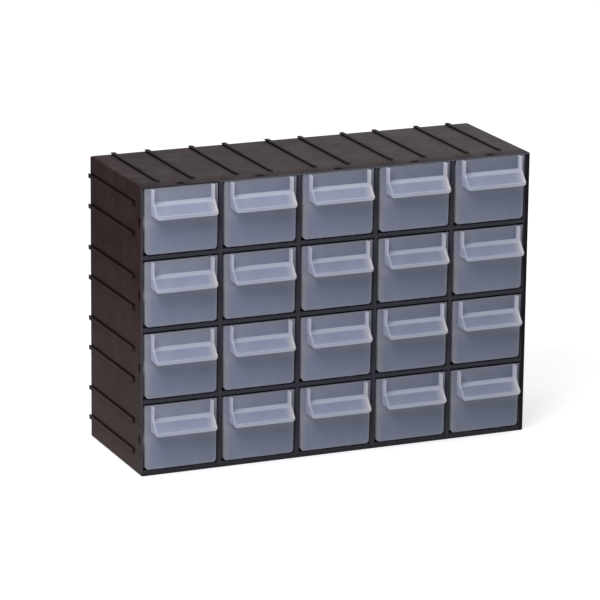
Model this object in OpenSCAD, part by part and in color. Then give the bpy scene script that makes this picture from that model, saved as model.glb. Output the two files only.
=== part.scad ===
// Modular parts bin cabinet: a moulded housing with twenty small drawers.
// Millimetres. +Z is up, the drawers open towards -Y, and the origin is at
// the bottom, in the middle of the cabinet's outer box.

/* [Housing] */
// Width of the housing, without its side rails
cabinet_w = 382; // [374:1:392]
// Height of the housing, without its top rails
cabinet_h = 267; // [261:1:275]
// Depth of the housing, without the drawer handles
cabinet_d = 130; // [124:1:145]
// Thickness of the top wall
top_t = 1.4; // [1.2:0.1:1.8]
// Thickness of the bottom wall, with its stacking grooves
bottom_t = 3.7; // [3.5:0.1:4.2]
// Thickness of the left wall at the front
left_t = 2.0; // [1.8:0.1:2.6]
// Thickness of the right wall at the front, with its joining grooves
right_t = 3.5; // [3.4:0.1:4]
// Thickness of the back wall
back_t = 2.0; // [1.6:0.1:3]
// Thickness of an upright divider at the front
divider_t = 3.0; // [2.4:0.1:3.4]
// Growth of a divider's half thickness from front to back
divider_draft = 0.5; // [0:0.1:0.7]
// Thickness of a shelf
shelf_t = 2.7; // [2.2:0.1:3]
// How far each side wall leans in from front to back
side_draft = 0.6; // [0.3:0.1:1]
// How far the top wall falls from front to back
top_draft = 0.4; // [0:0.1:0.4]
// Radius of the two wall-fixing holes
fixing_r = 2.5; // [2:0.1:3]

/* [Runners and stops] */
// Height of the runners that each drawer slides on
runner_h = 1.7; // [1.4:0.1:1.7]
// Width of a runner
runner_w = 4; // [3:0.5:6]
// Height of the stop nib under the top wall
nib_h = 2.0; // [1.8:0.1:2.1]
// Width of a stop nib
nib_w = 14; // [10:1:18]

/* [Joining rails] */
// How far the rails stand out over the front outline of the housing
rail_h = 1.2; // [1.1:0.1:1.6]
// Width of a rail at its outer face
rail_tip_w = 4.2; // [3.8:0.1:4.4]
// Width of a rail where it meets the front outline of the housing
rail_root_w = 3.2; // [3:0.1:3.4]
// Distance from the front face to a rail's front end
rail_start = 15; // [13:1:24]
// Length over which a rail's front end slopes down to the wall
rail_lead = 3.5; // [2:0.5:6]
// Distance between the two top rails of a column
rail_pair_x = 33; // [30:0.5:36]
// Distance between the two left rails of a row
rail_pair_z = 28.4; // [26:0.2:31]
// Distance from one pair of left rails to the next
rail_pitch_z = 67; // [66:0.1:67.5]
// Clearance of a rail in its groove
groove_gap = 0.25; // [0.2:0.05:0.4]
// How far the left wall is set back behind its rim at the front
rim_step = 0.25; // [0.1:0.05:0.3]
// Distance from the front face to the small windows in the top and left walls
window_start = 1.4; // [1.2:0.1:2]
// Length of a window, front to back
window_len = 5.5; // [3:0.5:5.5]
// Width of a window
window_w = 8; // [6:1:10]

/* [Drawer] */
// Gap between a drawer's top edge and a divider
side_gap = 1.9; // [1.6:0.1:2.2]
// Gap between a drawer's front panel and the shelf above it
top_gap = 2.0; // [1.6:0.1:2.2]
// Gap between a top-row drawer's front panel and the top wall
top_row_gap = 0.6; // [0.5:0.1:0.8]
// Gap between a drawer and the shelf below it
bottom_gap = 2.0; // [2:0.1:2.4]
// How much narrower each side of a drawer is at its bottom
drawer_draft = 0.6; // [0:0.1:1]
// Radius of a drawer's lower corners
drawer_corner_r = 3.0; // [2.5:0.5:6]
// Thickness of a drawer's front panel
front_t = 1.9; // [1.6:0.1:2.4]
// Thickness of a drawer's other walls and floor
wall_t = 1.5; // [1.2:0.1:1.8]
// Gap between a closed drawer and the back wall
rear_gap = 0.5; // [0.4:0.1:2]
// How much lower a drawer's sides are than its front panel
side_drop = 2.4; // [2.2:0.1:6]

/* [Handle] */
// Distance between the outer faces of a handle's two cheeks
handle_w = 58.8; // [50:0.2:60]
// Thickness of a cheek
cheek_t = 1.6; // [1.4:0.1:2]
// How far the handle stands out at its lower lip
handle_out = 14.5; // [13:0.5:16]
// How far the cheeks stand out above the ledge
cheek_out = 6.0; // [5:0.5:7]
// Distance from the top of the front panel to the ledge
ledge_drop = 12.2; // [11:0.2:13]
// Distance from the top of the front panel to the bottom of the handle
handle_drop = 25.5; // [25:0.5:28]
// Height of the lower lip
lip_h = 3.0; // [2:0.2:3.4]
// Radius of the handle's lower corners
handle_corner_r = 2.5; // [1:0.5:4]
// Thickness of the sloping plate
plate_t = 1.5; // [1.2:0.1:1.8]

/* [Hidden] */
cols = 5;
rows = 4;
// Clear size of a cell's front opening and the distance from cell to cell
cell_w = (cabinet_w - left_t - right_t - (cols - 1) * divider_t) / cols;
cell_h = (cabinet_h - top_t - bottom_t - (rows - 1) * shelf_t + top_gap - top_row_gap) / rows;
pitch_x = cell_w + divider_t;
pitch_z = cell_h + shelf_t;
inner_d = cabinet_d - back_t;
// Drawer sizes
drawer_w = cell_w - 2 * side_gap;
drawer_h = cell_h - top_gap - bottom_gap;
drawer_d = inner_d - rear_gap;
half_top = drawer_w / 2;
half_bottom = half_top - drawer_draft;
side_h = drawer_h - side_drop;
// Rails and grooves come in pairs, one pair to a column or row
groove_d = rail_h + groove_gap;
// Height of a rail's nose over the outline
rail_nose = 0.2;
// Middle height of the four pairs of left rails
rails_mid_z = cabinet_h / 2 + 0.5;
// Front of the stop nibs, behind the windows
nib_start = window_start + window_len + 0.6;
// Distance of a drawer runner from the middle of its cell
runner_off = 16.3;
// Middle of the outer box
mid_x = (cabinet_w - rail_h) / 2;
mid_y = (cabinet_d - handle_out) / 2;
housing_colour = [0.20, 0.17, 0.16];
drawer_colour = [0.55, 0.60, 0.67, 0.85];

// Left edge of a cell's front opening, columns counted from 0 at the left
function cell_x(c) = left_t + c * pitch_x;
function cell_mid(c) = cell_x(c) + cell_w / 2;
// Floor of a cell, rows counted from 0 at the top
function cell_z(r) = bottom_t + (rows - 1 - r) * pitch_z;
// Middle of a pair of rails or grooves on column c or on row r
function pair_x(c) = cabinet_w / 2 + (c - (cols - 1) / 2) * pitch_x;
function pair_z(r) = rails_mid_z + ((rows - 1) / 2 - r) * rail_pitch_z;
// Half thickness of a divider at depth y
function divider_half(y) = divider_t / 2 + divider_draft * y / cabinet_d;
// Inner faces of the cells at depth y
function cell_left(c, y) = c == 0 ? left_t + divider_draft * y / cabinet_d
    : cell_x(c) - divider_t / 2 + divider_half(y);
function cell_right(c, y) = c == cols - 1 ? cabinet_w - right_t - divider_draft * y / cabinet_d
    : cell_x(c) + cell_w + divider_t / 2 - divider_half(y);
// Outer face of the left wall at depth y, behind the rim
function left_x(y) = rim_step + (side_draft - rim_step) * (y - rail_start) / (cabinet_d - rail_start);
// Width of a rail at height h over the outline
function rail_width(h) = rail_root_w + (rail_tip_w - rail_root_w) * h / rail_h;

// Moves the housing's own corner frame to the middle of the outer box
module placed() { translate([-mid_x, -mid_y, 0]) children(); }
// A profile in Y and Z, run along X from x0 to x1
module along_x(x0, x1) { translate([x0, 0, 0]) rotate([90, 0, 90]) linear_extrude(height = x1 - x0) children(); }
// A profile in X and Z, run along Y from y0 to y1
module along_y(y0, y1) { translate([0, y1, 0]) rotate([90, 0, 0]) linear_extrude(height = y1 - y0) children(); }

// Outline of the housing seen from above, from depth y0 to depth y1, with the step behind the left rim
module outer_plan(y0, y1) {
    polygon(concat([[cabinet_w - side_draft * y0 / cabinet_d, y0], [cabinet_w - side_draft * y1 / cabinet_d, y1]],
        y1 > rail_start ? [[left_x(y1), y1], [rim_step, rail_start]] : [[0, y1]],
        y0 >= rail_start ? [] : y1 > rail_start ? [[0, rail_start], [0, y0]] : [[0, y0]]));
}
// Everything under the top wall, in Y and Z
module under_top() {
    polygon([[-1, 0], [cabinet_d + 1, 0],
        [cabinet_d + 1, cabinet_h - top_t - top_draft * (cabinet_d + 1) / cabinet_d],
        [-1, cabinet_h - top_t + top_draft / cabinet_d]]);
}
// Dovetail from h0 to h1 over the outline, widened by gap on each side
module dovetail(h0, h1, gap) {
    polygon([[-rail_width(h0) / 2 - gap, h0], [rail_width(h0) / 2 + gap, h0],
        [rail_width(h1) / 2 + gap, h1], [-rail_width(h1) / 2 - gap, h1]]);
}
// Joining grooves cut up into the bottom, open at the back
module bottom_grooves() {
    for (c = [0:cols - 1], s = [-1, 1]) translate([pair_x(c) + s * rail_pair_x / 2, 0, 0])
        along_y(rail_start - 1, cabinet_d + 1) dovetail(-1, groove_d + 0.5, groove_gap);
}
// Joining grooves cut into the right side
module right_grooves() {
    for (r = [0:rows - 1], s = [-1, 1]) translate([cabinet_w, 0, pair_z(r) + s * rail_pair_z / 2])
        rotate([0, -90, 0]) along_y(rail_start - 1, cabinet_d + 1) dovetail(-1, groove_d + 0.5, groove_gap);
}

module top_wall() color(housing_colour) placed() difference() {
    intersection() {
        along_x(0, cabinet_w) polygon([[0, cabinet_h], [0, cabinet_h - top_t],
            [cabinet_d, cabinet_h - top_t - top_draft], [cabinet_d, cabinet_h - top_draft]]);
        translate([0, 0, cabinet_h - 10]) linear_extrude(height = 12) outer_plan(0, cabinet_d);
    }
    for (c = [0:cols - 1]) translate([pair_x(c) - window_w / 2, window_start, cabinet_h - 5])
        cube([window_w, window_len, 10]);
}

module bottom_wall() color(housing_colour) placed()
    translate([0, 0, groove_d]) linear_extrude(height = bottom_t - groove_d) outer_plan(0, cabinet_d);
// Solid strip under the bottom wall along its front edge
module bottom_front_strip() color(housing_colour) placed()
    linear_extrude(height = groove_d) outer_plan(0, rail_start);
// Eleven strips under the bottom wall, with ten stacking grooves between them
module bottom_strips() color(housing_colour) placed() difference() {
    linear_extrude(height = groove_d) outer_plan(rail_start, cabinet_d);
    bottom_grooves();
}

// Front part of the left wall, with one window to each row
module left_rim() color(housing_colour) placed() difference() {
    intersection() {
        translate([0, 0, bottom_t]) linear_extrude(height = cabinet_h)
            polygon([[0, 0], [left_t, 0], [cell_left(0, rail_start), rail_start], [0, rail_start]]);
        along_x(-5, 20) under_top();
    }
    for (r = [0:rows - 1]) translate([-5, window_start, pair_z(r) - window_w / 2]) cube([10, window_len, window_w]);
}
// Left wall behind its rim
module left_wall() color(housing_colour) placed() intersection() {
    translate([0, 0, bottom_t]) linear_extrude(height = cabinet_h)
        polygon([[rim_step, rail_start], [cell_left(0, rail_start), rail_start],
            [left_t + divider_draft, cabinet_d], [side_draft, cabinet_d]]);
    along_x(-5, 20) under_top();
}

module right_wall() color(housing_colour) placed() intersection() {
    translate([0, 0, bottom_t]) linear_extrude(height = cabinet_h)
        polygon([[cabinet_w - right_t, 0], [cabinet_w - groove_d, 0],
            [cabinet_w - groove_d, cabinet_d], [cabinet_w - right_t - divider_draft, cabinet_d]]);
    along_x(cabinet_w - 20, cabinet_w + 5) under_top();
}
// Solid strip outside the right wall along its front edge
module right_front_strip() color(housing_colour) placed() intersection() {
    translate([0, 0, bottom_t]) linear_extrude(height = cabinet_h) outer_plan(0, rail_start);
    along_x(cabinet_w - groove_d, cabinet_w + 5) under_top();
}
// Nine strips outside the right wall, with eight joining grooves between them
module right_strips() color(housing_colour) placed() difference() {
    intersection() {
        translate([0, 0, bottom_t]) linear_extrude(height = cabinet_h) outer_plan(rail_start, cabinet_d);
        along_x(cabinet_w - groove_d, cabinet_w + 5) under_top();
    }
    right_grooves();
}

module back_wall() color(housing_colour) placed() difference() {
    intersection() {
        translate([0, inner_d, bottom_t]) linear_extrude(height = cabinet_h) polygon([
            [left_t + divider_draft * inner_d / cabinet_d, 0],
            [cabinet_w - right_t - divider_draft * inner_d / cabinet_d, 0],
            [cabinet_w - right_t - divider_draft, back_t], [left_t + divider_draft, back_t]]);
        along_x(-5, cabinet_w + 5) under_top();
    }
    for (c = [1, 3]) translate([cell_mid(c), cabinet_d + 1, cell_z(0) + 47])
        rotate([90, 0, 0]) cylinder(h = back_t + 2, r = fixing_r, $fn = 48);
}

// Upright divider to the right of column c
module divider(c) color(housing_colour) placed() intersection() {
    translate([cell_x(c) + cell_w + divider_t / 2, 0, bottom_t]) linear_extrude(height = cabinet_h) polygon([
        [-divider_half(0), 0], [divider_half(0), 0],
        [divider_half(inner_d), inner_d], [-divider_half(inner_d), inner_d]]);
    along_x(0, cabinet_w) under_top();
}
module divider_1() { divider(0); }
module divider_2() { divider(1); }
module divider_3() { divider(2); }
module divider_4() { divider(3); }

// Shelf under row r: one panel for each column
module shelf(r) color(housing_colour) placed()
    for (c = [0:cols - 1]) translate([0, 0, cell_z(r) - shelf_t]) linear_extrude(height = shelf_t) polygon([
        [cell_left(c, 0), 0], [cell_right(c, 0), 0],
        [cell_right(c, inner_d), inner_d], [cell_left(c, inner_d), inner_d]]);
module shelf_upper() { shelf(0); }
module shelf_middle() { shelf(1); }
module shelf_lower() { shelf(2); }

// Two runners on the floor of every cell
module runner_ribs() color(housing_colour) placed()
    for (r = [0:rows - 1], c = [0:cols - 1], s = [-1, 1])
        translate([cell_mid(c) + s * runner_off - runner_w / 2, 3, cell_z(r)])
            cube([runner_w, inner_d - 3, runner_h]);

// A nib hanging at the front of every cell, which stops the open drawer
module stop_nibs() color(housing_colour) placed()
    for (r = [0:rows - 1], c = [0:cols - 1])
        translate([cell_mid(c), 0, r == 0 ? cabinet_h - top_t : cell_z(r - 1) - shelf_t])
            along_x(-nib_w / 2, nib_w / 2) polygon(r == 0
                ? [[nib_start, -top_draft * nib_start / cabinet_d], [nib_start + 6, -top_draft * (nib_start + 6) / cabinet_d],
                    [nib_start + 6, -nib_h], [nib_start + 4, -nib_h]]
                : [[nib_start, 0], [nib_start + 6, 0], [nib_start + 6, -nib_h - top_gap + top_row_gap],
                    [nib_start + 4, -nib_h - top_gap + top_row_gap]]);

// One rail along Y, sunk under the outline by the given depth, with a sloping front end
module rail(sunk) difference() {
    along_y(rail_start, cabinet_d) dovetail(-sunk, rail_h, 0);
    translate([-rail_tip_w, 0, 0]) rotate([90, 0, 90]) linear_extrude(height = 2 * rail_tip_w)
        polygon([[rail_start - rail_lead, 2 * rail_nose - rail_h], [rail_start + rail_lead, rail_h],
            [rail_start + rail_lead, rail_h + 1], [rail_start - rail_lead, rail_h + 1]]);
}

// Ten rails on the top wall, cut off where they meet it
module top_rails() color(housing_colour) placed() difference() {
    for (c = [0:cols - 1], s = [-1, 1]) translate([pair_x(c) + s * rail_pair_x / 2, 0, cabinet_h])
        rail(1.2);
    along_x(-5, cabinet_w + 5) polygon([[-1, 0], [cabinet_d + 1, 0],
        [cabinet_d + 1, cabinet_h - top_draft * (cabinet_d + 1) / cabinet_d],
        [-1, cabinet_h + top_draft / cabinet_d]]);
}

// Eight rails on the left wall
module left_rails() color(housing_colour) placed() difference() {
    for (r = [0:rows - 1], s = [-1, 1]) translate([0, 0, pair_z(r) + s * rail_pair_z / 2])
        rotate([0, -90, 0]) rail(1.4);
    translate([0, 0, -1]) linear_extrude(height = cabinet_h + 5) polygon([
        [rim_step, rail_start - 1], [rim_step, rail_start], [side_draft, cabinet_d], [side_draft, cabinet_d + 1],
        [20, cabinet_d + 1], [20, rail_start - 1]]);
}

// Lower corner arc of a drawer's section, for the side with sign s, as points
function corner(s, ht, hb, h, r) = let (a = atan((ht - hb) / h), x = hb + r * tan(a) - r / cos(a), n = 6)
    [for (i = [0:n]) let (t = s > 0 ? -90 + (90 - a) * i / n : -a - (90 - a) * i / n)
        [s * (x + r * cos(t)), r + r * sin(t)]];
// Section of a drawer in X and Z: half widths ht at height h and hb at the floor, cut at height top
module section(ht, hb, h, r, top) {
    w = hb + (ht - hb) * top / h;
    polygon(concat([[-w, top]], corner(-1, ht, hb, h, r), corner(1, ht, hb, h, r), [[w, top]]));
}

// Handle cheek seen from the side: Y outwards is negative, Z from the top of the panel
module cheek_profile() {
    polygon([[front_t / 2, 0], [-cheek_out + 0.8, 0], [-cheek_out + 0.2, -0.6], [-cheek_out, -ledge_drop - 0.4],
        [-handle_out, -handle_drop + lip_h + 0.3], [-handle_out, -handle_drop], [front_t / 2, -handle_drop + 1]]);
}
// Ledge, sloping plate and lower lip between the cheeks
module plate_profile() {
    polygon([[front_t / 2, -ledge_drop + 0.5], [-cheek_out + 1, -ledge_drop - 2.6],
        [-handle_out + 1.6, -handle_drop + lip_h + 0.6], [-handle_out, -handle_drop + lip_h], [-handle_out, -handle_drop],
        [-handle_out + 1.5, -handle_drop], [-handle_out + 1.6, -handle_drop + 0.6],
        [-cheek_out + 1 + plate_t * 0.66, -ledge_drop - 2.6 - plate_t], [front_t / 2, -ledge_drop - plate_t]]);
}

module drawer(r, c) color(drawer_colour) placed() translate([cell_mid(c), 0, cell_z(r) + bottom_gap]) {
    // Front panel
    along_y(0, front_t) section(half_top, half_bottom, drawer_h, drawer_corner_r, drawer_h);
    // Floor, sides and rear wall
    difference() {
        along_y(front_t - 0.01, drawer_d) section(half_top, half_bottom, drawer_h, drawer_corner_r, side_h);
        translate([0, 0, wall_t]) along_y(front_t, drawer_d - wall_t)
            section(half_top - wall_t + 0.02, half_bottom - wall_t, drawer_h, drawer_corner_r - wall_t, drawer_h);
    }
    // Stop tab on the rear wall
    translate([-6, drawer_d - wall_t, side_h - 4]) cube([12, wall_t, drawer_h - 0.4 - side_h + 4]);
    // Handle, with rounded lower corners
    intersection() {
        union() {
            for (s = [-1, 1]) translate([s * (handle_w - cheek_t) / 2, 0, drawer_h])
                along_x(-cheek_t / 2, cheek_t / 2) cheek_profile();
            translate([0, 0, drawer_h])
                along_x(-handle_w / 2 + cheek_t / 2, handle_w / 2 - cheek_t / 2) plate_profile();
        }
        translate([0, 0, drawer_h - handle_drop]) along_y(-handle_out - 1, front_t)
            section(handle_w / 2, handle_w / 2, 40, handle_corner_r, 40);
    }
}
module drawer_r1_c1() { drawer(0, 0); }
module drawer_r1_c2() { drawer(0, 1); }
module drawer_r1_c3() { drawer(0, 2); }
module drawer_r1_c4() { drawer(0, 3); }
module drawer_r1_c5() { drawer(0, 4); }
module drawer_r2_c1() { drawer(1, 0); }
module drawer_r2_c2() { drawer(1, 1); }
module drawer_r2_c3() { drawer(1, 2); }
module drawer_r2_c4() { drawer(1, 3); }
module drawer_r2_c5() { drawer(1, 4); }
module drawer_r3_c1() { drawer(2, 0); }
module drawer_r3_c2() { drawer(2, 1); }
module drawer_r3_c3() { drawer(2, 2); }
module drawer_r3_c4() { drawer(2, 3); }
module drawer_r3_c5() { drawer(2, 4); }
module drawer_r4_c1() { drawer(3, 0); }
module drawer_r4_c2() { drawer(3, 1); }
module drawer_r4_c3() { drawer(3, 2); }
module drawer_r4_c4() { drawer(3, 3); }
module drawer_r4_c5() { drawer(3, 4); }

top_wall();
bottom_wall();
bottom_front_strip();
bottom_strips();
left_rim();
left_wall();
right_wall();
right_front_strip();
right_strips();
back_wall();
divider_1();
divider_2();
divider_3();
divider_4();
shelf_upper();
shelf_middle();
shelf_lower();
runner_ribs();
stop_nibs();
top_rails();
left_rails();
drawer_r1_c1();
drawer_r1_c2();
drawer_r1_c3();
drawer_r1_c4();
drawer_r1_c5();
drawer_r2_c1();
drawer_r2_c2();
drawer_r2_c3();
drawer_r2_c4();
drawer_r2_c5();
drawer_r3_c1();
drawer_r3_c2();
drawer_r3_c3();
drawer_r3_c4();
drawer_r3_c5();
drawer_r4_c1();
drawer_r4_c2();
drawer_r4_c3();
drawer_r4_c4();
drawer_r4_c5();
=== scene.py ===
import math
import bpy
import bmesh
from mathutils import Matrix, Vector


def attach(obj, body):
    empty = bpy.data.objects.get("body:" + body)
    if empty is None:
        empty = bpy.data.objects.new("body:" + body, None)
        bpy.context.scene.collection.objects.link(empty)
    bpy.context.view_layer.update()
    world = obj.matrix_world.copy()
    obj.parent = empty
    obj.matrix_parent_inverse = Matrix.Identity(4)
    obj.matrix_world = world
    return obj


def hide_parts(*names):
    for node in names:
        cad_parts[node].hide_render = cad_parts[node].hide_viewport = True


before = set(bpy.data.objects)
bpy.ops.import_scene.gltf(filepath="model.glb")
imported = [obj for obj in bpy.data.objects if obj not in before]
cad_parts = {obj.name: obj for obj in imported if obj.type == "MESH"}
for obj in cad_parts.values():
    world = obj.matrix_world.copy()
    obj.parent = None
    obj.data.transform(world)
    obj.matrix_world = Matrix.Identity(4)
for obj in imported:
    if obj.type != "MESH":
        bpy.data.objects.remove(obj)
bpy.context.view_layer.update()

scene = bpy.context.scene

# ---------------------------------------------------------------- sizes, in millimetres, as in the CAD
W, H, D = 382.0, 267.0, 130.0
TOP_T, BOTTOM_T, LEFT_T, RIGHT_T, BACK_T = 1.4, 3.7, 2.0, 3.5, 2.0
DIV_T, DIV_DRAFT, SHELF_T = 3.0, 0.5, 2.7
SIDE_DRAFT, TOP_DRAFT = 0.6, 0.4
COLS, ROWS = 5, 4
CELL_W, CELL_H = 72.9, 63.8
PX, PZ = CELL_W + DIV_T, CELL_H + SHELF_T
INNER = D - BACK_T
RAIL_H, TIP, ROOT, GAP = 1.2, 4.2, 3.2, 0.25
GROOVE, RAIL_START = RAIL_H + GAP, 15.0
OFF_X, OFF_Z, RAILS_PZ = 16.5, 14.2, 67.0
STEP = 0.25
WIN_Y0, WIN_Y1, WIN_W = 1.4, 6.9, 8.0
HALF_TOP, HALF_BOT, DH, DD, SIDE_H = 34.55, 33.95, 59.8, 127.5, 57.4
CORNER_R = 3.0
FRONT_T, WALL = 1.9, 1.5
MX, MY = (W - RAIL_H) / 2, (D - 14.5) / 2


def cell_x(c):
    return LEFT_T + c * PX


def cell_mid(c):
    return cell_x(c) + CELL_W / 2


def cell_z(r):
    return BOTTOM_T + (ROWS - 1 - r) * PZ


def pair_x(c):
    return W / 2 + (c - 2) * PX


def pair_z(r):
    return H / 2 + 0.5 + (1.5 - r) * RAILS_PZ


def P(x, y, z):
    return Vector(((x - MX) / 1000, (y - MY) / 1000, z / 1000))


# ---------------------------------------------------------------- mesh helpers
def new_object(name, bm):
    bmesh.ops.recalc_face_normals(bm, faces=bm.faces)
    me = bpy.data.meshes.new(name)
    bm.to_mesh(me)
    bm.free()
    ob = bpy.data.objects.new(name, me)
    scene.collection.objects.link(ob)
    return ob


def hexa(bm, pts):
    """Eight corners: four round one end, then the four that face them."""
    v = [bm.verts.new(p) for p in pts]
    faces = [bm.faces.new(v[0:4][::-1]), bm.faces.new(v[4:8])]
    for i in range(4):
        j = (i + 1) % 4
        faces.append(bm.faces.new((v[i], v[j], v[j + 4], v[i + 4])))
    return v, faces


def prism(bm, ring_a, ring_b):
    a = [bm.verts.new(p) for p in ring_a]
    b = [bm.verts.new(p) for p in ring_b]
    faces = [bm.faces.new(a[::-1]), bm.faces.new(b)]
    for i in range(len(a)):
        j = (i + 1) % len(a)
        faces.append(bm.faces.new((a[i], a[j], b[j], b[i])))
    return faces


def boolean(ob, other, how):
    m = ob.modifiers.new("b", "BOOLEAN")
    m.operation, m.solver, m.object = how, "EXACT", other
    m.use_self = False
    bpy.context.view_layer.update()
    dg = bpy.context.evaluated_depsgraph_get()
    me = bpy.data.meshes.new_from_object(ob.evaluated_get(dg))
    ob.modifiers.clear()
    old = ob.data
    ob.data = me
    me.name = old.name
    bpy.data.meshes.remove(old)
    bpy.data.objects.remove(other)


def tidy(ob, merge=2e-6):
    bm = bmesh.new()
    bm.from_mesh(ob.data)
    bmesh.ops.remove_doubles(bm, verts=bm.verts, dist=merge)
    bmesh.ops.dissolve_limit(bm, angle_limit=math.radians(0.5), verts=bm.verts, edges=bm.edges)
    bmesh.ops.recalc_face_normals(bm, faces=bm.faces)
    bm.to_mesh(ob.data)
    bm.free()


def apply_all(ob):
    bpy.context.view_layer.update()
    dg = bpy.context.evaluated_depsgraph_get()
    me = bpy.data.meshes.new_from_object(ob.evaluated_get(dg))
    ob.modifiers.clear()
    old = ob.data
    ob.data = me
    bpy.data.meshes.remove(old)


def bevel(ob, width_mm, segments=2, angle=30):
    m = ob.modifiers.new("Bevel", "BEVEL")
    m.width = width_mm / 1000
    m.segments = segments
    m.limit_method = "ANGLE"
    m.angle_limit = math.radians(angle)
    m.use_clamp_overlap = True
    m.harden_normals = False
    m.miter_outer = "MITER_ARC"
    return m


def weigh(ob):
    """Flat faces keep their own normals and only the rounded edges are graded."""
    m = ob.modifiers.new("Weigh", "WEIGHTED_NORMAL")
    m.mode, m.weight, m.keep_sharp = "FACE_AREA", 100, True


def smooth(ob, angle=35):
    for p in ob.data.polygons:
        p.use_smooth = True
    me = ob.data
    bm = bmesh.new()
    bm.from_mesh(me)
    lim = math.radians(angle)
    for e in bm.edges:
        if len(e.link_faces) == 2:
            e.smooth = e.calc_face_angle(0.0) < lim
        else:
            e.smooth = False
    bm.to_mesh(me)
    bm.free()


# ---------------------------------------------------------------- node helpers
class Nodes:
    def __init__(self, name):
        self.mat = bpy.data.materials.new(name)
        self.mat.use_nodes = True
        self.nt = self.mat.node_tree
        self.nt.nodes.clear()
        self.out = self.nt.nodes.new("ShaderNodeOutputMaterial")

    def add(self, kind, **props):
        n = self.nt.nodes.new(kind)
        for k, v in props.items():
            setattr(n, k, v)
        return n

    def put(self, socket, value):
        if hasattr(value, "links") or isinstance(value, bpy.types.NodeSocket):
            self.nt.links.new(value, socket)
        else:
            socket.default_value = value

    def math(self, op, a, b=None, c=None, clamp=False):
        n = self.add("ShaderNodeMath", operation=op, use_clamp=clamp)
        self.put(n.inputs[0], a)
        if b is not None:
            self.put(n.inputs[1], b)
        if c is not None:
            self.put(n.inputs[2], c)
        return n.outputs[0]

    def ramp(self, v, lo, hi, a=0.0, b=1.0, smooth=True):
        n = self.add("ShaderNodeMapRange")
        n.interpolation_type = "SMOOTHSTEP" if smooth else "LINEAR"
        self.put(n.inputs["Value"], v)
        n.inputs["From Min"].default_value = lo
        n.inputs["From Max"].default_value = hi
        n.inputs["To Min"].default_value = a
        n.inputs["To Max"].default_value = b
        return n.outputs["Result"]

    def mix(self, f, a, b, blend="MIX"):
        n = self.add("ShaderNodeMix", data_type="RGBA", blend_type=blend)
        self.put(n.inputs[0], f)
        self.put(n.inputs[6], a)
        self.put(n.inputs[7], b)
        return n.outputs[2]

    def noise(self, vec, scale, detail=2.0, rough=0.5):
        n = self.add("ShaderNodeTexNoise")
        self.put(n.inputs["Vector"], vec)
        n.inputs["Scale"].default_value = scale
        n.inputs["Detail"].default_value = detail
        n.inputs["Roughness"].default_value = rough
        return n.outputs["Fac"]

    def scaled(self, vec, s):
        n = self.add("ShaderNodeVectorMath", operation="MULTIPLY")
        self.put(n.inputs[0], vec)
        n.inputs[1].default_value = s
        return n.outputs[0]


def col(r, g, b):
    """An sRGB colour, 0 to 255, as a linear one."""
    def f(v):
        v /= 255
        return v / 12.92 if v <= 0.04045 else ((v + 0.055) / 1.055) ** 2.4
    return (f(r), f(g), f(b), 1.0)


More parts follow.
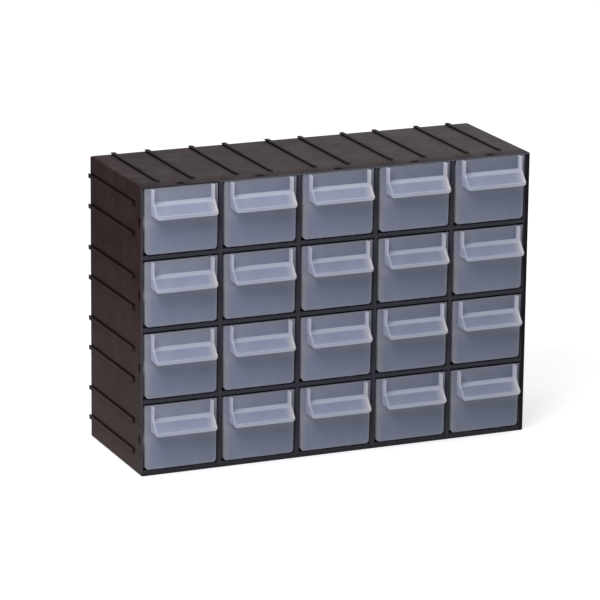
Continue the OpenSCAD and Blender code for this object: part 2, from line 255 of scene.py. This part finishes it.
# ---------------------------------------------------------------- housing plastic
def housing_material(name):
    n = Nodes(name)
    tc = n.add("ShaderNodeTexCoord").outputs["Object"]
    sep = n.add("ShaderNodeSeparateXYZ")
    n.put(sep.inputs[0], tc)
    x, y, z = sep.outputs
    big = n.noise(tc, 7.0, 3.0, 0.55)
    mid = n.noise(tc, 45.0, 4.0, 0.6)
    fine = n.noise(tc, 1500.0, 3.0, 0.6)
    base = n.mix(n.ramp(big, 0.35, 0.65), HOUSE_A, HOUSE_B)
    base = n.mix(n.ramp(mid, 0.35, 0.68, 0.0, 0.5), base, HOUSE_C)
    # dust and scuffs that lighten the flat faces a little
    scuff = n.noise(n.scaled(tc, (160.0, 45.0, 160.0)), 1.0, 5.0, 0.65)
    base = n.mix(n.ramp(scuff, 0.55, 0.8, 0.0, 0.18), base, HOUSE_D)
    # a film of dust with painted light in it: thicker on the top, where it also serves as a painted sheen growing
    # towards the right, and towards the foot of the side walls, where it also serves as a painted reflection of the
    # table
    x0, x1, y0, z1 = -MX / 1000, (W - MX) / 1000, -MY / 1000, H / 1000
    side = n.math("MAXIMUM", n.ramp(x, x0 + 0.0007, x0 + 0.0022, 1.0, 0.0), n.ramp(x, x1 - 0.0022, x1 - 0.0007))
    side = n.math("MULTIPLY", side, n.ramp(z, 0.0, 0.20, 1.0, 0.0, smooth=False))
    # the film fades out towards the edge between the top and the left wall, a painted shading gradient across that edge
    top = n.math("MULTIPLY", n.ramp(z, z1 - 0.0012, z1 - 0.0004), n.ramp(x, x0 - 0.001, x0 + 0.008))
    top = n.math("MULTIPLY", top, n.ramp(y, y0 + 0.004, y0 + 0.018, 0.35, 1.0))
    patchy = n.ramp(n.noise(tc, 23.0, 3.0, 0.6), 0.25, 0.75, 0.8, 1.0)
    dust_and_painted_light = n.math("MULTIPLY", n.math("MAXIMUM", n.math("MULTIPLY", side, DUST_AND_REFLECTION_SIDE), n.math("MULTIPLY", top, n.ramp(x, x0, x1, DUST_AND_SHEEN_TOP[0], DUST_AND_SHEEN_TOP[1], smooth=False))), patchy)
    base = n.mix(dust_and_painted_light, base, n.mix(n.ramp(z, z1 - 0.002, z1 - 0.001), HOUSE_DUST_AND_REFLECTION_SIDE, HOUSE_DUST_AND_SHEEN))
    # painted shade on the rails' flanks and the corners beside them, where the undercut and the rails' shadows fall; o
    # is the distance from a rail's middle
    sx = n.math("WRAP", n.math("SUBTRACT", x, (pair_x(2) - MX) / 1000), PX / 2000, -PX / 2000)
    ox = n.math("SUBTRACT", sx, n.math("MULTIPLY", n.math("SIGN", sx), OFF_X / 1000))
    sz = n.math("WRAP", n.math("SUBTRACT", z, (H / 2 + 0.5) / 1000), RAILS_PZ / 1000, 0.0)
    sz = n.math("SUBTRACT", sz, RAILS_PZ / 2000)
    oz = n.math("SUBTRACT", sz, n.math("MULTIPLY", n.math("SIGN", sz), OFF_Z / 1000))
    behind = n.ramp(y, y0 + RAIL_START / 1000 - 0.0015, y0 + RAIL_START / 1000)
    on_top = n.math("MULTIPLY", n.ramp(z, z1 - 0.0012, z1 - 0.0006), behind)
    on_left = n.math("MULTIPLY", n.ramp(x, x0 + 0.0008, x0 + 0.0014, 1.0, 0.0), behind)
    top_line = n.math("MULTIPLY", n.ramp(ox, -0.0036, -0.0024), n.ramp(ox, -0.0008, 0.0010, 1.0, 0.0))
    left_line = n.math("MULTIPLY", n.ramp(oz, 0.0012, 0.0018), n.ramp(oz, 0.0026, 0.0038, 1.0, 0.0))
    rail_shade = n.math("MAXIMUM", n.math("MULTIPLY", top_line, on_top), n.math("MULTIPLY", left_line, on_left))
    # and painted shade on their sloping front ends
    nose_shade = n.math("MAXIMUM",
                  n.math("MULTIPLY", n.ramp(z, z1 - 0.0001, z1 + 0.0001), n.ramp(ox, 0.0002, 0.0012, 1.0, 0.0)),
                  n.math("MULTIPLY", n.ramp(x, x0 - 0.0001, x0 + 0.0001, 1.0, 0.0), n.ramp(n.math("ABSOLUTE", oz), 0.0022, 0.0026, 1.0, 0.0)))
    nose_shade = n.math("MULTIPLY", nose_shade, n.ramp(y, y0 + (RAIL_START + 3.4) / 1000, y0 + (RAIL_START + 4.6) / 1000, 1.0, 0.0))
    rail_shade = n.math("MAXIMUM", rail_shade, n.math("MULTIPLY", nose_shade, 0.9))
    base = n.mix(n.math("MULTIPLY", rail_shade, RAIL_SHADE), base, col(10, 8, 8))
    # painted light on the front rims: paler and bluer, as lit from the front; painted highlights on the thin rims of
    # the top and left walls, painted shade on the right wall's rim
    rim = n.ramp(y, y0 + 0.0002, y0 + 0.0007, 1.0, 0.0)
    rimcol = n.mix(n.ramp(x, x1 - 0.0040, x1 - 0.0034), HOUSE_RIM_LIT, HOUSE_RIM_R_SHADE)
    rimcol = n.mix(n.ramp(x, x0 + 0.0019, x0 + 0.0021, 1.0, 0.0), rimcol, HOUSE_RIM_L_HIGHLIGHT)
    # painted shade on the front of the bottom strip
    rimcol = n.mix(n.math("MULTIPLY", n.ramp(z, 0.0032, 0.0037, 1.0, 0.0), 0.45), rimcol, col(30, 31, 37))
    # the top wall's rim: a painted highlight on its lower half, and darker over the first column
    edge = n.mix(n.ramp(x, x0 + 0.070, x0 + 0.082), col(60, 61, 68), n.mix(n.ramp(z, z1 - 0.0012, z1 - 0.0003), HOUSE_RIM_T_HIGHLIGHT, col(72, 73, 81)))
    rimcol = n.mix(n.ramp(z, z1 - 0.0016, z1 - 0.0014), rimcol, edge)
    base = n.mix(n.math("MULTIPLY", rim, 0.85), base, rimcol)
    # painted light: the mouths of the cells are painted paler, standing in for the drawers' glow in the gaps
    inside = n.math("MULTIPLY", n.ramp(x, x0 + 0.0019, x0 + 0.0022), n.ramp(x, x1 - 0.0033, x1 - 0.0030, 1.0, 0.0))
    inside = n.math("MULTIPLY", inside, n.math("MULTIPLY", n.ramp(z, 0.0034, 0.0037), n.ramp(z, z1 - 0.0016, z1 - 0.0013, 1.0, 0.0)))
    mouth_glow = n.math("MULTIPLY", inside, n.math("MULTIPLY", n.ramp(y, y0 + 0.0004, y0 + 0.0010), n.ramp(y, y0 + 0.004, y0 + 0.012, 1.0, 0.0)))
    base = n.mix(n.math("MULTIPLY", mouth_glow, 0.8), base, HOUSE_MOUTH_GLOW)
    sh = n.add("ShaderNodeBsdfPrincipled")
    n.put(sh.inputs["Base Color"], base)
    n.put(sh.inputs["Roughness"], n.ramp(mid, 0.25, 0.75, 0.44, 0.56))
    sh.inputs["IOR"].default_value = 1.5
    sh.inputs["Specular IOR Level"].default_value = HOUSE_SPEC
    bump = n.add("ShaderNodeBump")
    bump.inputs["Strength"].default_value = 0.15
    bump.inputs["Distance"].default_value = 0.0001
    n.put(bump.inputs["Height"], n.math("ADD", fine, n.math("MULTIPLY", scuff, 0.6)))
    n.put(sh.inputs["Normal"], bump.outputs[0])
    n.nt.links.new(sh.outputs[0], n.out.inputs[0])
    return n.mat


HOUSE_A, HOUSE_B, HOUSE_C, HOUSE_D = col(46, 29, 30), col(52, 34, 34), col(39, 25, 26), col(63, 53, 52)
# dust colours and strengths that also carry a painted sheen on the top and a painted reflection on the side walls
HOUSE_DUST_AND_SHEEN, HOUSE_DUST_AND_REFLECTION_SIDE, DUST_AND_REFLECTION_SIDE, DUST_AND_SHEEN_TOP = col(108, 106, 107), col(110, 99, 99), 0.36, (0.09, 0.38)
HOUSE_RIM_LIT, HOUSE_RIM_L_HIGHLIGHT, HOUSE_RIM_R_SHADE, HOUSE_RIM_T_HIGHLIGHT = col(69, 71, 80), col(84, 78, 86), col(33, 33, 40), col(122, 126, 136)
HOUSE_MOUTH_GLOW, RAIL_SHADE = col(112, 113, 124), 0.75
HOUSE_SPEC = 0.05


# ---------------------------------------------------------------- drawer plastic: frosted and translucent
def drawer_material():
    n = Nodes("drawer_frosted_polypropylene")
    tc = n.add("ShaderNodeTexCoord").outputs["Object"]
    sep = n.add("ShaderNodeSeparateXYZ")
    n.put(sep.inputs[0], tc)
    x, y, z = sep.outputs
    mm = lambda v: v / 1000
    cloud = n.noise(n.scaled(tc, (55.0, 55.0, 30.0)), 1.0, 4.0, 0.6)
    grain = n.noise(tc, 1700.0, 2.0, 0.6)
    streak = n.noise(n.scaled(tc, (420.0, 60.0, 45.0)), 1.0, 3.0, 0.6)
    base = n.mix(n.ramp(cloud, 0.3, 0.7), col(172, 181, 207), col(181, 190, 214))
    base = n.mix(n.ramp(streak, 0.35, 0.75, 0.0, 0.35), base, col(157, 166, 193))
    # no two drawers are quite alike in tone, and the light falls off towards the lower right
    info = n.add("ShaderNodeObjectInfo")
    place = n.add("ShaderNodeSeparateXYZ")
    n.put(place.inputs[0], info.outputs["Location"])
    tone = n.math("ADD", n.ramp(place.outputs[0], -0.19, 0.19, 0.0, 0.20, smooth=False), n.math("MULTIPLY", info.outputs["Random"], 0.14))
    tone = n.math("ADD", tone, n.ramp(place.outputs[2], 0.0, 0.22, 0.08, 0.0, smooth=False))
    base = n.mix(tone, base, col(122, 130, 152))
    # painted light: the front panel is painted paler along its left, right and lower edges, standing in for the light
    # that the walls behind carry there
    front = n.math("MULTIPLY", n.ramp(y, mm(-0.5), mm(-0.1)), n.ramp(y, mm(2.2), mm(2.6), 1.0, 0.0))
    left = n.ramp(x, mm(-33.0), mm(-27.0), 1.0, 0.0)
    right = n.math("MULTIPLY", n.ramp(x, mm(30.5), mm(33.5)), 0.45)
    low = n.math("MULTIPLY", n.ramp(z, mm(1.0), mm(5.0), 1.0, 0.0), 0.42)
    frame_edge = n.math("MAXIMUM", n.math("MAXIMUM", left, right), low)
    # painted shade: the right half is a little darker
    base = n.mix(n.math("MULTIPLY", n.math("MULTIPLY", n.ramp(x, mm(2.0), mm(30.0)), front), 0.22), base, col(118, 126, 148))
    faint = n.ramp(z, mm(44.0), mm(56.0), 0.46, 0.30)
    base = n.mix(n.math("MULTIPLY", n.math("MULTIPLY", frame_edge, front), faint), base, col(204, 198, 201))
    # painted light beside the left cheek, above the ledge, lifting the cheek's shade
    beside = n.math("MULTIPLY", n.math("MULTIPLY", n.ramp(x, mm(-27.0), mm(-6.0), 1.0, 0.0), n.ramp(z, mm(46.0), mm(48.0))), n.math("MULTIPLY", front, n.ramp(x, mm(-29.5), mm(-28.0))))
    base = n.mix(n.math("MULTIPLY", beside, 0.25), base, col(218, 222, 232))
    # painted light: the strip in the shade of the lip is painted greyer and paler
    shade = n.math("MULTIPLY", n.ramp(z, mm(22.0), mm(29.0)), n.ramp(z, mm(31.0), mm(34.0), 1.0, 0.0))
    base = n.mix(n.math("MULTIPLY", n.math("MULTIPLY", shade, front), 0.35), base, col(205, 202, 208))
    # behind the handle the light falls off more from left to right, most of all in the top row
    upper = n.math("MULTIPLY", front, n.ramp(z, mm(44.0), mm(48.0)))
    fall = n.math("MULTIPLY", n.ramp(place.outputs[2], 0.17, 0.19), n.ramp(place.outputs[0], -0.14, 0.02, 0.0, 0.14))
    fall = n.math("ADD", fall, n.ramp(place.outputs[0], -0.10, 0.17, 0.0, 0.09, smooth=False))
    base = n.mix(n.math("MULTIPLY", upper, fall), base, col(112, 120, 142))
    base = n.mix(n.math("MULTIPLY", upper, n.ramp(place.outputs[0], -0.16, -0.10, 0.14, 0.0)), base, col(222, 226, 234))
    # painted shade makes it greyer and darker near the upper edge; painted light makes the side edges just behind the
    # front greyer and paler
    high = n.math("MULTIPLY", n.ramp(z, mm(52.0), mm(60.0)), n.math("MULTIPLY", front, 0.5))
    base = n.mix(high, base, col(168, 164, 172))
    flank = n.math("MULTIPLY", n.ramp(n.math("ABSOLUTE", x), mm(33.6), mm(33.9)), n.ramp(y, mm(0.3), mm(0.8)))
    base = n.mix(n.math("MULTIPLY", flank, n.ramp(y, mm(3.0), mm(9.0), 0.9, 0.0)), base, col(235, 235, 240))
    # the handle's thin cheeks, ledge and lip catch the light and look paler than its plate
    ax = n.math("ABSOLUTE", x)
    cheek = n.math("MULTIPLY", n.ramp(ax, mm(27.0), mm(27.6)), n.ramp(y, mm(-0.5), mm(-0.1), 1.0, 0.0))
    ledge = n.math("MULTIPLY", n.ramp(z, mm(44.2), mm(45.4)), n.ramp(y, mm(-0.4), mm(-0.05), 1.0, 0.0))
    lip = n.math("MULTIPLY", n.ramp(z, mm(37.2), mm(38.0), 1.0, 0.0), n.ramp(y, mm(-12.9), mm(-12.4), 1.0, 0.0))
    pale = n.math("MAXIMUM", n.math("MAXIMUM", n.math("MULTIPLY", cheek, n.ramp(x, mm(-2.0), mm(2.0), 0.52, 1.0)), n.math("MULTIPLY", ledge, 0.88)), n.math("MULTIPLY", lip, 0.72))
    base = n.mix(pale, base, PALE)
    # the right cheek glows through the end of the plate
    glow = n.math("MULTIPLY", n.ramp(x, mm(20.0), mm(28.5)), n.ramp(y, mm(-5.0), mm(-4.0), 1.0, 0.0))
    base = n.mix(n.math("MULTIPLY", glow, 0.55), base, col(232, 226, 226))
    sh = n.add("ShaderNodeBsdfPrincipled")
    n.put(sh.inputs["Base Color"], base)
    n.put(sh.inputs["Roughness"], n.ramp(cloud, 0.25, 0.75, 0.30, 0.42))
    sh.inputs["IOR"].default_value = 1.49
    bump = n.add("ShaderNodeBump")
    bump.inputs["Strength"].default_value = 0.15
    bump.inputs["Distance"].default_value = 0.0001
    n.put(bump.inputs["Height"], n.math("ADD", grain, n.math("MULTIPLY", streak, 1.2)))
    n.put(sh.inputs["Normal"], bump.outputs[0])
    tr = n.add("ShaderNodeBsdfTranslucent")
    n.put(tr.inputs["Color"], n.mix(0.5, base, (1.0, 1.0, 1.0, 1.0)))
    mx = n.add("ShaderNodeMixShader")
    mx.inputs[0].default_value = 0.42
    n.nt.links.new(sh.outputs[0], mx.inputs[1])
    n.nt.links.new(tr.outputs[0], mx.inputs[2])
    n.nt.links.new(mx.outputs[0], n.out.inputs[0])
    return n.mat


PALE = col(224, 228, 243)
HOUSING = housing_material("housing_polystyrene")
DRAWER = drawer_material()


# ---------------------------------------------------------------- housing shell
def cell_left(c, y):
    return cell_x(c) + DIV_DRAFT * y / D


def cell_right(c, y):
    if c == COLS - 1:
        return W - RIGHT_T - DIV_DRAFT * y / D
    return cell_x(c) + CELL_W - DIV_DRAFT * y / D


def edge_bevel(bm, test, width_mm, segments):
    es = [e for e in bm.edges if test(e)]
    bmesh.ops.bevel(bm, geom=es, offset=width_mm / 1000, segments=segments, profile=0.5, affect="EDGES")


def make_shell():
    bm = bmesh.new()
    hexa(bm, [P(0, 0, 0), P(W, 0, 0), P(W, 0, H), P(0, 0, H),
              P(SIDE_DRAFT, D, 0), P(W - SIDE_DRAFT, D, 0), P(W - SIDE_DRAFT, D, H - TOP_DRAFT), P(SIDE_DRAFT, D, H - TOP_DRAFT)])
    yf, yb = P(0, 0, 0).y, P(0, D, 0).y
    edge_bevel(bm, lambda e: abs(e.verts[0].co.y - e.verts[1].co.y) > 0.05, 1.6, 5)
    edge_bevel(bm, lambda e: all(abs(v.co.y - yb) < 1e-6 for v in e.verts), 1.2, 4)
    edge_bevel(bm, lambda e: all(abs(v.co.y - yf) < 1e-6 for v in e.verts), 0.35, 2)
    shell = new_object("housing_shell", bm)
    bm = bmesh.new()
    # the wall is set back a little behind the left rim
    hexa(bm, [P(-3, RAIL_START, -2), P(STEP, RAIL_START, -2), P(STEP, RAIL_START, H + 2), P(-3, RAIL_START, H + 2),
              P(-3, D + 2, -2), P(SIDE_DRAFT, D + 2, -2), P(SIDE_DRAFT, D + 2, H + 2), P(-3, D + 2, H + 2)])
    boolean(shell, new_object("step", bm), "DIFFERENCE")
    bm = bmesh.new()
    for r in range(ROWS):
        for c in range(COLS):
            z0 = cell_z(r)
            ya, yb = -1.0, INNER
            if r == 0:
                za, zb = H - TOP_T - TOP_DRAFT * ya / D, H - TOP_T - TOP_DRAFT * yb / D
            else:
                za = zb = z0 + CELL_H
            hexa(bm, [P(cell_left(c, ya), ya, z0), P(cell_right(c, ya), ya, z0), P(cell_right(c, ya), ya, za), P(cell_left(c, ya), ya, za),
                      P(cell_left(c, yb), yb, z0), P(cell_right(c, yb), yb, z0), P(cell_right(c, yb), yb, zb), P(cell_left(c, yb), yb, zb)])
    boolean(shell, new_object("cells", bm), "DIFFERENCE")
    bm = bmesh.new()
    # joining grooves in the underside and the right side
    def dove(h):
        return (ROOT + (TIP - ROOT) * h / RAIL_H) / 2 + GAP
    g0, g1 = RAIL_START, D + 1.0
    a, b = dove(-1), dove(GROOVE)
    for c in range(COLS):
        for s in (-1, 1):
            x = pair_x(c) + s * OFF_X
            prism(bm, [P(x - a, g0, -1), P(x + a, g0, -1), P(x + b, g0, GROOVE), P(x - b, g0, GROOVE)],
                  [P(x - a, g1, -1), P(x + a, g1, -1), P(x + b, g1, GROOVE), P(x - b, g1, GROOVE)])
    for r in range(ROWS):
        for s in (-1, 1):
            z = pair_z(r) + s * OFF_Z
            prism(bm, [P(W + 1, g0, z - a), P(W + 1, g0, z + a), P(W - GROOVE, g0, z + b), P(W - GROOVE, g0, z - b)],
                  [P(W + 1, g1, z - a), P(W + 1, g1, z + a), P(W - GROOVE, g1, z + b), P(W - GROOVE, g1, z - b)])
    # small windows through the top and left walls
    k = WIN_W / 2
    for c in range(COLS):
        x = pair_x(c)
        hexa(bm, [P(x - k, WIN_Y0, H - 3), P(x + k, WIN_Y0, H - 3), P(x + k, WIN_Y0, H + 2), P(x - k, WIN_Y0, H + 2),
                  P(x - k, WIN_Y1, H - 3), P(x + k, WIN_Y1, H - 3), P(x + k, WIN_Y1, H + 2), P(x - k, WIN_Y1, H + 2)])
    for r in range(ROWS):
        z = pair_z(r)
        hexa(bm, [P(-2, WIN_Y0, z - k), P(3, WIN_Y0, z - k), P(3, WIN_Y0, z + k), P(-2, WIN_Y0, z + k),
                  P(-2, WIN_Y1, z - k), P(3, WIN_Y1, z - k), P(3, WIN_Y1, z + k), P(-2, WIN_Y1, z + k)])
    # wall-fixing holes
    for c in (1, 3):
        x, z = cell_mid(c), cell_z(0) + 47
        ring = [(x + 2.5 * math.cos(t), z + 2.5 * math.sin(t)) for t in [2 * math.pi * i / 48 for i in range(48)]]
        prism(bm, [P(u, INNER - 1, w) for u, w in ring], [P(u, D + 1, w) for u, w in ring])
    boolean(shell, new_object("cut", bm), "DIFFERENCE")
    tidy(shell)
    bevel(shell, 0.25, 2, 40)
    apply_all(shell)
    smooth(shell, 40)
    weigh(shell)
    shell.data.materials.clear()
    shell.data.materials.append(HOUSING)
    return shell


shell = make_shell()
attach(shell, "housing")
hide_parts("top_wall", "bottom_wall", "bottom_front_strip", "bottom_strips", "left_rim", "left_wall", "right_wall",
            "right_front_strip", "right_strips", "back_wall", "divider_1", "divider_2", "divider_3", "divider_4",
            "shelf_upper", "shelf_middle", "shelf_lower")

for name in ("top_rails", "left_rails", "runner_ribs", "stop_nibs"):
    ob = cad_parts[name]
    ob.data.materials.clear()
    ob.data.materials.append(HOUSING)
    bevel(ob, 0.5 if name.endswith("rails") else 0.3, 3, 35)


# ---------------------------------------------------------------- drawer
def corner(s, ht, hb, h, r, n=10):
    a = math.atan((ht - hb) / h)
    x = hb + r * math.tan(a) - r / math.cos(a)
    pts = []
    for i in range(n + 1):
        t = (-math.pi / 2 + (math.pi / 2 - a) * i / n) if s > 0 else (-a - (math.pi / 2 - a) * i / n)
        pts.append((s * (x + r * math.cos(t)), r + r * math.sin(t)))
    return pts


def section(ht, hb, h, r, top):
    w = hb + (ht - hb) * top / h
    return [(-w, top)] + corner(-1, ht, hb, h, r) + corner(1, ht, hb, h, r) + [(w, top)]


def L(x, y, z):
    return Vector((x / 1000, y / 1000, z / 1000))


def make_drawer_mesh():
    # a full block, then everything behind the front panel is cut away to leave the box and its stop tab
    bm = bmesh.new()
    s = section(HALF_TOP, HALF_BOT, DH, CORNER_R, DH)
    prism(bm, [L(x, 0, z) for x, z in s], [L(x, DD, z) for x, z in s])
    ob = new_object("drawer_visual", bm)
    bm = bmesh.new()
    s = section(HALF_TOP - WALL + 0.02, HALF_BOT - WALL, DH, CORNER_R - WALL, SIDE_H - WALL)
    ring = [(-41, DH + 3), (-41, SIDE_H)] + [(x, z + WALL) for x, z in s] + [(41, SIDE_H), (41, DH + 3)]
    prism(bm, [L(x, FRONT_T, z) for x, z in ring], [L(x, DD - WALL, z) for x, z in ring])
    boolean(ob, new_object("hollow", bm), "DIFFERENCE")
    bm = bmesh.new()
    ring = [(-42, DH + 4), (-42, SIDE_H), (-6, SIDE_H), (-6, DH - 0.4), (6, DH - 0.4), (6, SIDE_H), (42, SIDE_H), (42, DH + 4)]
    prism(bm, [L(x, DD - WALL - 5, z) for x, z in ring], [L(x, DD + 2, z) for x, z in ring])
    boolean(ob, new_object("above", bm), "DIFFERENCE")
    # handle, with rounded lower corners
    co, ho, ld, hd, hw, ct, lip = 6.0, 14.5, 12.2, 25.5, 58.8, 1.6, 3.0
    cheek = [(FRONT_T / 2, 0), (-co + 0.8, 0), (-co + 0.2, -0.6), (-co, -ld - 0.4), (-ho, -hd + lip + 0.3), (-ho, -hd), (FRONT_T / 2, -hd + 1)]
    plate = [(FRONT_T / 2, -ld + 0.5), (-co + 1, -ld - 2.6), (-ho + 1.6, -hd + lip + 0.6), (-ho, -hd + lip), (-ho, -hd), (-ho + 1.5, -hd),
             (-ho + 1.6, -hd + 0.6), (-co + 1.99, -ld - 4.1), (FRONT_T / 2, -ld - 1.5)]
    a = hw / 2 - ct / 2
    bm = bmesh.new()
    prism(bm, [L(-a, y, DH + z) for y, z in plate], [L(a, y, DH + z) for y, z in plate])
    handle = new_object("handle", bm)
    for sgn in (-1, 1):
        bm = bmesh.new()
        x0 = sgn * a
        prism(bm, [L(x0 - ct / 2, y, DH + z) for y, z in cheek], [L(x0 + ct / 2, y, DH + z) for y, z in cheek])
        boolean(handle, new_object("cheek", bm), "UNION")
    bm = bmesh.new()
    ring = [(x, z + DH - hd) for x, z in section(hw / 2, hw / 2, 40, 2.5, 40)]
    prism(bm, [L(x, -ho - 1, z) for x, z in ring], [L(x, FRONT_T, z) for x, z in ring])
    boolean(handle, new_object("round", bm), "INTERSECT")
    boolean(ob, handle, "UNION")
    tidy(ob)
    bevel(ob, 0.3, 2, 30)
    apply_all(ob)
    smooth(ob, 50)
    weigh(ob)
    ob.data.materials.clear()
    ob.data.materials.append(DRAWER)
    return ob


first = make_drawer_mesh()
for r in range(ROWS):
    for c in range(COLS):
        if r == 0 and c == 0:
            ob = first
        else:
            ob = bpy.data.objects.new("x", first.data)
            scene.collection.objects.link(ob)
            weigh(ob)
        ob.name = f"bin_{r + 1}_{c + 1}"
        ob.location = P(cell_mid(c), 0, cell_z(r) + 2.0)
        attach(ob, f"bin_r{r + 1}_c{c + 1}")
        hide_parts(f"drawer_r{r + 1}_c{c + 1}")


# ---------------------------------------------------------------- floor, light, camera
bm = bmesh.new()
hexa(bm, [Vector(p) for p in ((-9, -9, -0.02), (9, -9, -0.02), (9, 9, -0.02), (-9, 9, -0.02), (-9, -9, 0), (9, -9, 0), (9, 9, 0), (-9, 9, 0))])
floor = new_object("floor", bm)
fn = Nodes("floor_white")
sh = fn.add("ShaderNodeBsdfPrincipled")
sh.inputs["Roughness"].default_value = 0.8
sh.inputs["Specular IOR Level"].default_value = 0.2
tcf = fn.add("ShaderNodeTexCoord").outputs["Object"]
fn.put(sh.inputs["Base Color"], fn.mix(fn.noise(tcf, 3.0), (0.86, 0.86, 0.86, 1), (0.88, 0.88, 0.88, 1)))
sh.inputs["Emission Color"].default_value = (1, 1, 1, 1)
sh.inputs["Emission Strength"].default_value = 0.48
fn.nt.links.new(sh.outputs[0], fn.out.inputs[0])
floor.data.materials.append(fn.mat)
# a bright table would wash out the dark sides, so it doesn't light them and isn't mirrored in them
floor.visible_glossy = False
floor.visible_diffuse = False

world = bpy.data.worlds.new("studio")
scene.world = world
world.use_nodes = True
world.node_tree.nodes["Background"].inputs[0].default_value = (1.0, 1.0, 1.0, 1)
world.node_tree.nodes["Background"].inputs[1].default_value = 0.44


def area(name, loc, target, size, power, color=(1, 1, 1)):
    d = bpy.data.lights.new(name, "AREA")
    d.shape, d.size, d.size_y = "RECTANGLE", size[0], size[1]
    d.energy, d.color = power, color
    o = bpy.data.objects.new(name, d)
    o.location = loc
    o.rotation_mode = "QUATERNION"
    o.rotation_quaternion = (Vector(target) - Vector(loc)).to_track_quat("-Z", "Y")
    scene.collection.objects.link(o)
    return o


area("key_left", (-0.95, -0.80, 1.40), (0, 0, 0.13), (0.9, 0.9), 15)
area("overhead", (0.2, 0.1, 2.2), (0, 0, 0.2), (1.8, 1.4), 7)
area("left_fill", (-2.2, 0.35, 0.55), (-0.15, 0, 0.13), (1.2, 0.9), 4, (1.0, 0.70, 0.68))
area("backdrop", (1.4, 2.4, 0.8), (0, 0, 0.25), (2.6, 1.2), 3.5)

scene.view_settings.view_transform = "Standard"
scene.view_settings.look = "None"

cam_data = bpy.data.cameras.new("camera")
cam = bpy.data.objects.new("camera", cam_data)
scene.collection.objects.link(cam)
CAM = dict(f=3822.489, az=math.radians(-23.581), el=math.radians(15.626), roll=math.radians(0.651), tx=153.606, tz=149.184, dist=3448.083)
c = Vector((math.sin(CAM["az"]) * math.cos(CAM["el"]), -math.cos(CAM["az"]) * math.cos(CAM["el"]), math.sin(CAM["el"])))
fw = -c
right = fw.cross(Vector((0, 0, 1))).normalized()
up = right.cross(fw)
r2 = math.cos(CAM["roll"]) * right + math.sin(CAM["roll"]) * up
u2 = -math.sin(CAM["roll"]) * right + math.cos(CAM["roll"]) * up
pos = P(CAM["tx"], 0, CAM["tz"]) + c * (CAM["dist"] / 1000)
m = Matrix((r2, u2, -fw)).transposed().to_4x4()
m.translation = pos
cam.matrix_world = m
cam_data.sensor_width = 36
cam_data.lens = CAM["f"] / 600 * 36
cam_data.clip_start, cam_data.clip_end = 0.1, 40
scene.camera = cam
